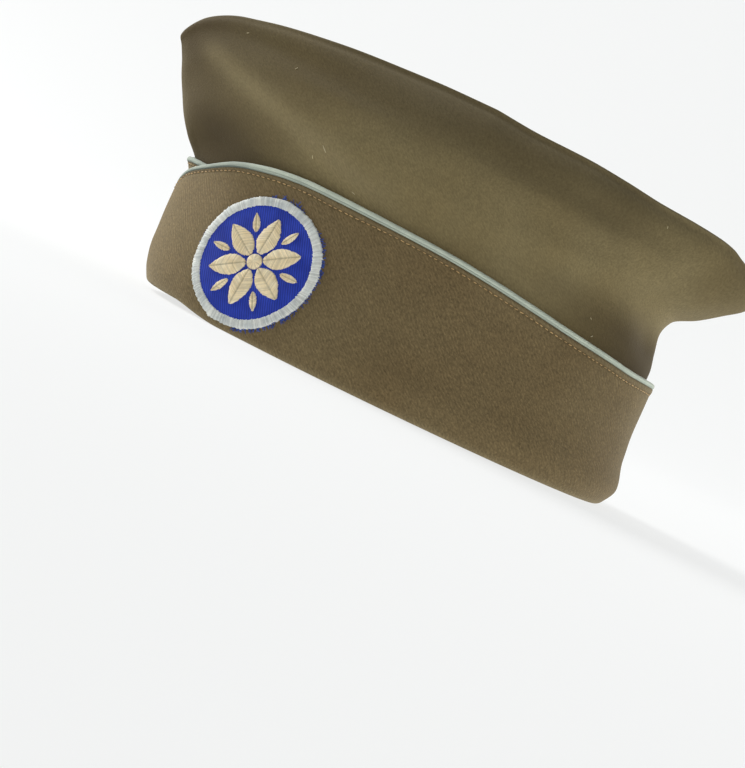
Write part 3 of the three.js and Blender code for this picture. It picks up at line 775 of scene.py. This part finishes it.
# The piping: a folded strip round a cord, with a crease along its face at the side.
def piping(side):
    """One half's piping; its own thickness and height change along the cap as in the photograph."""
    turns = np.linspace(start_of(side) + short_turn, 1, PIPING_STEPS)
    centre = piping_centre(side, turns)
    centre[..., 1] += back_clear(side, turns)
    centre = raised(centre, turns)
    along = cumulative(centre)
    way = np.gradient(centre, axis=0)
    way[-1] = (0, -side, 0)
    way = unit(way)
    out = unit(centre * np.array([1, 1, 0]))
    up = unit(np.cross(way, out))
    up = np.where(up[:, 2:3] < 0, -up, up)
    aside = unit(np.cross(up, way))
    aside = np.where((aside * out).sum(-1, keepdims=True) < 0, -aside, aside)
    angles = round_turn(28)
    half = piping_half(turns)[:, None]
    ends = np.minimum(along, along[-1] - along)[:, None]
    ease = np.sqrt(1 - np.clip(1 - ends / 0.9, 0, 1) ** 2 * 0.8)
    tall = half * np.cos(angles)[None, :]
    deep_axis = mix(1.15, 1.4, smooth(0.1, 0.3, turns))[:, None]
    thick = deep_axis * np.sin(angles)[None, :]
    # The crease runs a little below the middle of the outer face.
    face = np.sin(angles)[None, :] > 0.2
    crease = smooth(0.2, 0.32, turns)[:, None] * (1 - 0.55 * smooth(0.62, 0.85, turns)[:, None])
    line = tall / half + 0.22 + 0.06 * np.sin(along / 17)[:, None]
    thick = thick - face * crease * 0.34 * bell(line, 0.13)
    wobble = 1 + 0.025 * np.sin(along / 2.1)[:, None] * np.sin(along / 7.3 + 1)[:, None]
    rings = centre[:, None, :] + up[:, None, :] * (tall * ease * wobble)[..., None]
    rings = rings + aside[:, None, :] * (thick * ease * wobble)[..., None]
    # Painted shade on the piping's underside and in its crease.
    lower = smooth(0.35, 0.8, -(tall / half)) * face
    # At the front the piping is darkened to grey by painted shade.
    grey = 0.55 * (1 - smooth(0.2, 0.28, turns))[:, None]
    band = np.clip(face * crease * 0.8 * bell(line, 0.12) + 0.75 * lower + grey, 0, 1)
    girth = np.cumsum(np.full(len(angles), 2 * math.pi * 1.5 / len(angles)))[None, :]
    weave = twill_layer(along[:, None], girth)
    thing = loft(sided("piping_strip", side), rings, weave=weave, band=band)
    finish_piece(thing, piping_stuff, "piping_cloth", sided("piping", side))


piping(-1)
piping(1)


# Stitches, frayed threads and lint.
def rods(name, paths, radius, material, slot, sides=6):
    """Many short bent rods in one mesh, each with its path, share of the radius and shade."""
    points, faces, strand, sunk = [], [], [], []
    for path, thick, shade in paths:
        way = unit(np.gradient(path, axis=0))
        ref = np.array([0.0, 0, 1]) if abs(way[0, 2]) < 0.9 else np.array([1.0, 0, 0])
        a = unit(np.cross(way, ref))
        b = np.cross(way, a)
        size = len(path)
        s = np.linspace(-1, 1, size)
        r = radius * thick * np.sqrt(np.clip(1 - np.abs(s) ** 4, 0.06, 1))
        ang = round_turn(sides)
        spoke = a[:, None] * np.cos(ang)[None, :, None] + b[:, None] * np.sin(ang)[None, :, None]
        ring = path[:, None] + r[:, None, None] * spoke
        base = sum(len(x) for x in points)
        points.append(ring.reshape(-1, 3))
        for i in range(size - 1):
            for j in range(sides):
                p = base + i * sides + j
                q = base + i * sides + (j + 1) % sides
                faces.append([p, q, q + sides, p + sides])
        faces.append([base + j for j in range(sides)][::-1])
        faces.append([base + (size - 1) * sides + j for j in range(sides)])
        strand += [shade] * (size * sides)
        sunk += [0.0] * (size * sides)
    thing = make(name, np.concatenate(points), faces, strand=strand, sunk=sunk)
    finish_piece(thing, material, slot)


def topstitches(side):
    """The tan stitches under one half's piping, where they aren't hidden at the rim."""
    turns = np.linspace(start_of(side) + 0.012, 0.996, 1500)
    top, slant = curtain_top(side, turns)
    height = top - read(STITCH, 1, turns) * slant
    keep = height > 3.2
    turns, top, slant, height = turns[keep], top[keep], slant[keep], height[keep]
    rise = cloth_rise(side, turns, height, top, slant)
    distance = back_distance(side, turns, height) + curtain_wall + rise
    line = beside_crown(side, turns, height, distance)
    line[:, 1] += back_clear(side, turns)
    line = raised(line, turns)
    out = unit(np.cross(np.gradient(line, axis=0), [0, 0, 1]))
    out = np.where((out * line * [1, 1, 0]).sum(-1, keepdims=True) < 0, -out, out)
    along = cumulative(line)
    paths = []
    for at in np.arange(1.5, along[-1] - 1, STITCH_PITCH):
        size = STITCH_LENGTH * rng.uniform(0.88, 1.1)
        at = at + rng.normal(0, 0.12)
        spots = np.clip(at + np.linspace(-0.5, 0.5, 6) * size, 0, along[-1])
        p, o = walk(spots, along, line), unit(walk(spots, along, out))
        bow = rng.uniform(0.1, 0.24) * (1 - np.linspace(-1, 1, 6) ** 2) - 0.03
        p = p + o * bow[:, None]
        p[:, 2] += np.linspace(-1, 1, 6) * rng.normal(0, 0.06)
        paths.append((p, rng.uniform(0.75, 1.1), rng.uniform(0, 1)))
    rods(sided("topstitches", side), paths, STITCH_RADIUS, stitch_stuff, "motif_thread")


topstitches(-1)
topstitches(1)


# The patch: a small map of the curtain's face round its centre carries all of its pieces.
MAP_STEP = 0.75


class PatchMap:
    """The curtain's face on a grid, in mm aside and up from the patch's centre."""

    def __init__(self):
        self.up = np.arange(-30.0, 33.0, MAP_STEP)
        self.aside = np.arange(-33.0, 33.1, MAP_STEP)
        turn = np.linspace(0.02, 0.62, 420)[None, :]
        middle = patch_hem + patch_diameter / 2
        lean = crown_normal(-1, patch_turn, level_at(-1, patch_turn, middle))
        height = (middle + self.up * math.hypot(lean[0], lean[1]))[:, None]
        top, slant = curtain_top(-1, turn)
        reach = back_distance(-1, turn, height) + curtain_wall
        reach = reach + cloth_rise(-1, turn, height, top, slant)
        face = beside_crown(-1, turn + 0 * height, height + 0 * turn, reach)
        face = raised(face, turn + 0 * height)
        step = np.linalg.norm(np.diff(face, axis=1), axis=-1)
        length = np.concatenate([np.zeros((len(self.up), 1)), np.cumsum(step, axis=1)], axis=1)
        row = int(np.argmin(np.abs(self.up)))
        centre = walk(patch_turn, turn[0], face[row])
        across = unit(walk(patch_turn + 0.01, turn[0], face[row]) - centre)
        grid = []
        for i in range(len(self.up)):
            # The patch's upright middle line stays square to the rim.
            start = np.interp(0, (face[i] - centre) @ across, length[i])
            grid.append(walk(self.aside + start, length[i], face[i]))
        self.points = np.array(grid)
        du = np.gradient(self.points, axis=0)
        da = np.gradient(self.points, axis=1)
        normal = unit(np.cross(da, du))
        self.normals = np.where(normal[..., 1:2] > 0, -normal, normal)

    def at(self, aside, up, distance):
        """Points over the curtain's face, by distances from the patch's centre."""
        aside, up, distance = np.broadcast_arrays(aside, up, distance)
        fi = np.clip((up - self.up[0]) / MAP_STEP, 0, len(self.up) - 1.001)
        fj = np.clip((aside - self.aside[0]) / MAP_STEP, 0, len(self.aside) - 1.001)
        i, j = fi.astype(int), fj.astype(int)
        a, b = (fi - i)[..., None], (fj - j)[..., None]

        def read_grid(g):
            return (g[i, j] * (1 - a) * (1 - b) + g[i + 1, j] * a * (1 - b)
                    + g[i, j + 1] * (1 - a) * b + g[i + 1, j + 1] * a * b)

        return read_grid(self.points) + unit(read_grid(self.normals)) * distance[..., None]

    def around(self, radius, angle, distance):
        return self.at(radius * np.cos(angle), radius * np.sin(angle), distance)


patch = PatchMap()
PATCH_RADIUS = patch_diameter / 2
# The blue ground's upper face, over the curtain's cloth.
GROUND_TOP = 0.95


def patch_ground():
    """The blue disc, whose ribs stand upright in the photograph."""
    angles = round_turn(120)[None, :]
    radii = np.concatenate([[0.02], np.linspace(0.6, 25.2, 42)])[:, None]
    under = radii[::-6]
    upper = patch.around(radii, angles, GROUND_TOP)
    lower = patch.around(under, angles, 0.15)
    rings = np.concatenate([upper, lower], axis=0)
    r = np.concatenate([radii, under])
    rib = r * np.cos(angles - CAMERA_ROLL)
    weave = twill_layer(rib, r * np.sin(angles))
    thing = loft("patch_blue_ground", rings, weave=weave)
    finish_piece(thing, blue_stuff, "patch_twill", "patch_ground")


# Between the threads of a leaf, in mm.
THREAD_PITCH = 0.46
# inwards to outwards, rise, as shares: the border's section
BORDER_SECTION = np.array([
    (0.0, 0.0), (0.0, 0.35), (0.05, 0.66), (0.14, 0.86), (0.28, 0.97), (0.45, 1.0), (0.62, 0.97),
    (0.78, 0.88), (0.9, 0.72), (0.97, 0.5), (1.0, 0.25), (1.0, 0.02),
])


def patch_border():
    """The border's threads, each a ridge across it of its own length, height and shade."""
    threads, per = 364, 4
    around = threads * per
    angle = np.arange(around) / around * 2 * math.pi
    phase = (np.arange(around) % per) / per
    lump = np.sin(phase * math.pi)
    jitter_out = np.repeat(rng.normal(0, 0.16, threads), per)
    jitter_in = np.repeat(rng.normal(0, 0.11, threads), per)
    high = np.repeat(rng.normal(0, 0.05, threads), per)
    slow = 0.16 * np.sin(angle * 3 + 1) + 0.12 * np.sin(angle * 7 + 2) + 0.1 * np.sin(angle * 13)
    outer = PATCH_RADIUS - 0.15 + jitter_out + slow * 0.8
    inner = PATCH_RADIUS - 4.1 + jitter_in + slow * 0.5
    across, rise = BORDER_SECTION[:, 0], BORDER_SECTION[:, 1]
    r = inner[:, None] + (outer - inner)[:, None] * across[None, :]
    lean = 0.012 * (across - 0.5)[None, :]
    middle = np.sin(np.clip(across, 0.05, 0.95) * math.pi)[None, :]
    height = 0.75 + 0.78 * rise[None, :] + (0.17 * lump[:, None] + high[:, None] - 0.08) * middle
    height = np.where((across == 1.0)[None, :], 0.02 + 0.75 * rise[None, :], height)
    height[:, 0] = 0.7
    rings = patch.around(r, angle[:, None] + lean, height)
    strand = np.repeat(rng.uniform(0, 1, threads), per)[:, None] + 0 * across[None, :]
    # Painted shade between the border's threads.
    sunk = (1 - lump)[:, None] * 0.7 * np.ones((1, len(across)))
    thing = loft("patch_border_stitches", rings, loop=True, strand=strand, sunk=sunk)
    finish_piece(thing, border_stuff, "border_thread", "patch_border")


def leaf(name, turned, start, end, width, thickness, *nodes):
    """A satin-stitched leaf, with slanting threads that meet along its middle."""
    rows = int((end - start) / THREAD_PITCH * 4)
    share = np.linspace(0.02, 0.98, rows)[:, None]
    spine = mix(start, end, share)
    across = np.linspace(-1, 1, 17)[None, :]
    half = width / 2 * np.sin(share * math.pi) ** 0.75
    along = spine - np.abs(across) * half * 0.55 + 0.55 * half * 0.5
    # A thread's own place along the leaf carries its ridge and shade.
    key = (spine + 0 * across) / THREAD_PITCH + 50
    which = key.astype(int)
    lump = np.abs(np.sin((key - which) * math.pi))
    shades = np.random.default_rng(97 + int(turned * 100)).uniform(0, 1, 400)
    edge = np.random.default_rng(131 + int(turned * 100)).normal(0, 0.12, 400)
    wide = half * across + np.sign(across) * edge[which % 400] * np.abs(across) ** 3
    dome = (1 - np.abs(across) ** 2.6)
    vein = bell(across * half, 0.28)
    height = GROUND_TOP + thickness * (0.35 + 0.65 * dome) + 0.16 * lump * dome
    height = height - 0.26 * vein * smooth(0, 1.5, half)
    height = np.where(np.abs(across) == 1, GROUND_TOP - 0.1, height)
    c, s = math.cos(turned), math.sin(turned)
    upper = patch.at(along * c - wide * s, along * s + wide * c, height)
    low_wide = half * np.array([0.5, 0.0, -0.5])
    lower = patch.at(spine * c - low_wide * s, spine * s + low_wide * c, GROUND_TOP - 0.25)
    rings = np.concatenate([upper, lower], axis=1)
    strand = np.concatenate([shades[which % 400] + 0 * across, np.zeros((rows, 3))], axis=1)
    # Painted shade between the threads and in the leaf's middle groove.
    sunk = np.concatenate([np.clip((1 - lump) * 0.6 + 0.7 * vein, 0, 1), np.ones((rows, 3))], axis=1)
    thing = loft(name, rings, strand=strand, sunk=sunk)
    finish_piece(thing, motif_stuff, "motif_thread", *nodes)


def patch_boss():
    """The small dome in the middle, with threads that run out from its centre."""
    threads, per = 30, 4
    around = threads * per
    angle = (np.arange(around) / around * 2 * math.pi)[None, :]
    lump = np.abs(np.sin((np.arange(around) % per) / per * math.pi))[None, :]
    share = np.linspace(0.02, 1, 12)[:, None]
    r = (boss_radius + 0.5) * share
    dome = np.sqrt(np.clip(1 - share ** 2.4, 0, 1))
    height = GROUND_TOP + 0.15 + 1.15 * dome + 0.13 * lump * smooth(0.15, 0.5, share)
    height[-1] = GROUND_TOP - 0.1
    upper = patch.around(r, angle, height)
    low = patch.around(r[-1:] * 0.4, angle, GROUND_TOP - 0.12)
    rings = np.concatenate([upper, low], axis=0)
    strand = np.repeat(np.random.default_rng(5).uniform(0, 1, threads), per)
    strand = np.broadcast_to(strand, rings.shape[:2])
    # Painted shade between the boss's threads.
    sunk = np.broadcast_to((1 - lump) * 0.7, rings.shape[:2])
    thing = loft("patch_boss_stitches", rings, strand=strand, sunk=sunk)
    finish_piece(thing, motif_stuff, "motif_thread", "patch_boss")


patch_ground()
patch_border()
for number in range(petal_count):
    turned = (number + 0.5) / petal_count * 2 * math.pi
    leaf(f"patch_petal_stitches_{number + 1}", turned, petal_inner, petal_outer, petal_width, 0.75,
         f"patch_petal_{number + 1}")
    between = number / petal_count * 2 * math.pi
    leaf(f"patch_dart_{number + 1}", between, 13.0, 21.8, 3.4, 0.5)
patch_boss()


# No thread reaches further down than this from the patch's centre, so none goes under the rim.
LOWEST_FRAY = -29.5


def frays():
    """Blue threads of the ground that stick out past the border."""
    paths = []
    # from angle, to angle, number of threads, their length in mm
    spans = [(1.3, 1.9, 26, 2.6), (-0.55, 0.9, 96, 2.0), (-1.4, -0.55, 62, 2.1), (2.9, 3.5, 14, 1.3)]
    for low, high, count, size in spans:
        for _ in range(count):
            angle = rng.uniform(low, high)
            length = size * rng.uniform(0.4, 1.25)
            lean = rng.normal(0, 0.7)
            s = np.linspace(0, 1, 6)
            r = PATCH_RADIUS - 0.5 + s * length * math.cos(lean)
            a = angle + s * length * math.sin(lean) / PATCH_RADIUS + 0.02 * np.sin(s * 3) * rng.normal()
            h = 0.3 + 0.5 * np.sin(s * 2.5) * rng.uniform(0.2, 1)
            up = np.maximum(r * np.sin(a), LOWEST_FRAY)
            paths.append((patch.at(r * np.cos(a), up, h), rng.uniform(0.8, 1.3), rng.uniform(0, 1)))
    rods("patch_blue_frays", paths, 0.16, fray_stuff, "patch_twill", 5)


frays()

# Light fibres that lie on the cloth: turn, level of the crown's left side, length in mm, heading.
LINT = [
    (0.359, 0.655, 2.7, 2.02), (0.288, 0.871, 1.5, 1.2), (0.202, 0.941, 1.7, 0.4),
    (0.717, 0.949, 1.3, 2.0), (0.398, 0.566, 1.2, 2.6), (0.747, 0.5, 1.2, 0.9),
    (0.739, 0.552, 1.0, 2.2), (0.342, 0.618, 1.4, 1.6),
]
# About how many mm the half turn measures round the crown.
HALF_ROUND = 240


def lint():
    """Each fibre lies on the crown's left side, with a slight bow."""
    paths = []
    for at, level, length, heading in LINT:
        s = np.linspace(-0.5, 0.5, 6)
        turn = at + s * length * math.cos(heading) / HALF_ROUND
        high = level + s * length * math.sin(heading) / crown_height
        bend = 0.35 * np.cos(s * 3)
        outward = fold_swell(turn, high) + 0.3 * waves(turn, high, 6) + 0.05 + 0.25 * bend
        p = crown_point(-1, turn, high) + crown_normal(-1, turn, high) * outward[:, None]
        paths.append((p, rng.uniform(0.8, 1.3), rng.uniform(0, 1)))
    rods("lint_on_crown", paths, 0.17, lint_stuff, "wool_twill", 5)


lint()


# Floor and backdrop, one seamless sweep.
def sweep():
    n = Nodes("studio_sweep")
    cloud = n.noise(n.objects(), 1.2, 2.0)
    colour = n.blend(cloud, (0.24, 0.242, 0.242, 1), (0.225, 0.228, 0.228, 1))
    n.finish(colour, None, 0.9, specular=0.1)
    n.shader.inputs["Emission Color"].default_value = (0.99, 1.0, 0.995, 1)
    n.shader.inputs["Emission Strength"].default_value = 0.735
    bend = 0.9
    profile = [(-2.2, 0.0), (bend, 0.0)]
    for a in np.linspace(0.1, math.pi / 2, 16):
        profile.append((bend + bend * math.sin(a), bend - bend * math.cos(a)))
    profile.append((2 * bend, 3.2))
    xs = np.linspace(-3, 3, 5)
    points = [(x, y, z) for x in xs for y, z in profile]
    size = len(profile)
    faces = [[i * size + j, (i + 1) * size + j, (i + 1) * size + j + 1, i * size + j + 1]
             for i in range(len(xs) - 1) for j in range(size - 1)]
    mesh = bpy.data.meshes.new("studio_sweep")
    mesh.from_pydata(points, [], faces)
    mesh.polygons.foreach_set("use_smooth", np.ones(len(mesh.polygons), bool))
    mesh.materials.append(n.material)
    thing = add("studio_sweep", mesh)


sweep()

# What the lights point at: the middle of the cap.
LIT = Vector((0, 0, 0.06))


def light(name, place, size, power):
    lamp = bpy.data.lights.new(name, "AREA")
    lamp.shape = "RECTANGLE"
    lamp.size, lamp.size_y = size
    lamp.energy = power
    thing = add(name, lamp)
    thing.location = place
    aim = LIT - Vector(place)
    thing.rotation_euler = aim.to_track_quat("-Z", "Y").to_euler()


light("key_left", (-1.25, 0.5, 0.72), (0.8, 0.7), 29)
light("key_right", (1.3, 0.8, 0.25), (0.8, 0.4), 10)
light("front_soft", (0.85, -1.55, 0.2), (1.4, 0.4), 12)

scene = bpy.context.scene
world = bpy.data.worlds.new("studio_world")
scene.world = world
world.use_nodes = True
tree = world.node_tree
sky = tree.nodes["Background"]
sky.inputs["Color"].default_value = (0.97, 0.985, 1.0, 1)
way = tree.nodes.new("ShaderNodeTexCoord").outputs["Generated"]
split = tree.nodes.new("ShaderNodeSeparateXYZ")
tree.links.new(way, split.inputs[0])
fade = tree.nodes.new("ShaderNodeMapRange")
for key, value in (("From Min", 0.0), ("From Max", 0.8), ("To Min", 0.34), ("To Max", 0.03)):
    fade.inputs[key].default_value = value
tree.links.new(split.outputs["Z"], fade.inputs["Value"])
tree.links.new(fade.outputs["Result"], sky.inputs["Strength"])
scene.view_settings.view_transform = "Standard"
scene.view_settings.look = "None"

# The camera, at the photograph's angle: level with the cap's side, rolled by the cap's tilt.
elevation, distance = math.radians(2.4), 1.1
forward = Vector((0, math.cos(elevation), -math.sin(elevation)))
upward = Vector((0, math.sin(elevation), math.cos(elevation)))
right = Vector((1, 0, 0))
cam_x = right * math.cos(CAMERA_ROLL) + upward * math.sin(CAMERA_ROLL)
cam_y = upward * math.cos(CAMERA_ROLL) - right * math.sin(CAMERA_ROLL)
target = Vector((0.0028, 0.0, 0.00445))
camera = bpy.data.cameras.new("camera")
camera.lens = 119.34
camera.sensor_width = 36
camera.clip_start = 0.05
view = add("camera", camera)
place = target - forward * distance
view.matrix_world = Matrix((
    (cam_x.x, cam_y.x, -forward.x, place.x),
    (cam_x.y, cam_y.y, -forward.y, place.y),
    (cam_x.z, cam_y.z, -forward.z, place.z),
    (0, 0, 0, 1),
))
scene.camera = view

bpy.context.view_layer.update()
